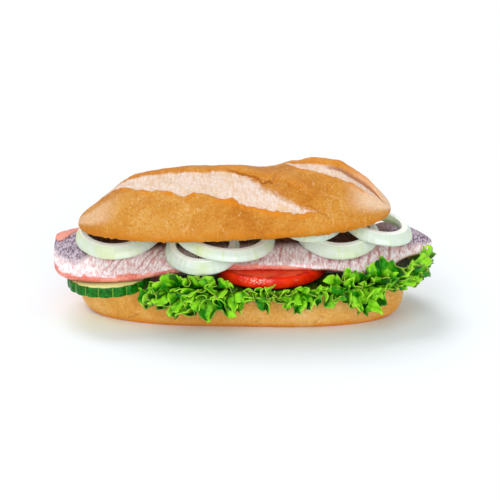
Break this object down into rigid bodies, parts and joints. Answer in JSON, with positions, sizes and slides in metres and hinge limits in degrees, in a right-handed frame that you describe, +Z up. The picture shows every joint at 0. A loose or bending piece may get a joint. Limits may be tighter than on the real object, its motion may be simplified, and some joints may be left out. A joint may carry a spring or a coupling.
{
  "type": "submarine sandwich",
  "caption": "Long crusty split roll filled with herring fillets, raw onion rings, a tomato slice, a cucumber slice and curly lettuce.",
  "frame": {"origin": "middle of the whole sandwich's footprint, on the surface that it stands on", "axes": "+X along the roll, to the right in the picture; +Y to the back, away from the open front; +Z up"},
  "size_m": [0.2264, 0.1128, 0.0921],
  "materials": {
    "crust": "baked golden crust with pale floury slashes",
    "cucumber": "wet green rind, pale flesh",
    "tomato": "wet red flesh and skin",
    "herring": "silver skin with pink flesh edge",
    "onion": "pale green white, moist",
    "lettuce": "fresh green, waxy"
  },
  "bodies": {
    "root": {"bun_bottom": "crust", "bun_top": "crust", "cucumber_slice": "cucumber", "tomato_slice": "tomato", "herring_left": "herring", "herring_right": "herring", "onion_ring_1": "onion", "onion_ring_2": "onion", "onion_ring_3": "onion", "onion_ring_4": "onion", "onion_ring_5": "onion", "onion_ring_6": "onion", "lettuce_left": "lettuce", "lettuce_middle": "lettuce", "lettuce_right": "lettuce", "lettuce_back": "lettuce"}
  },
  "joints": []
}
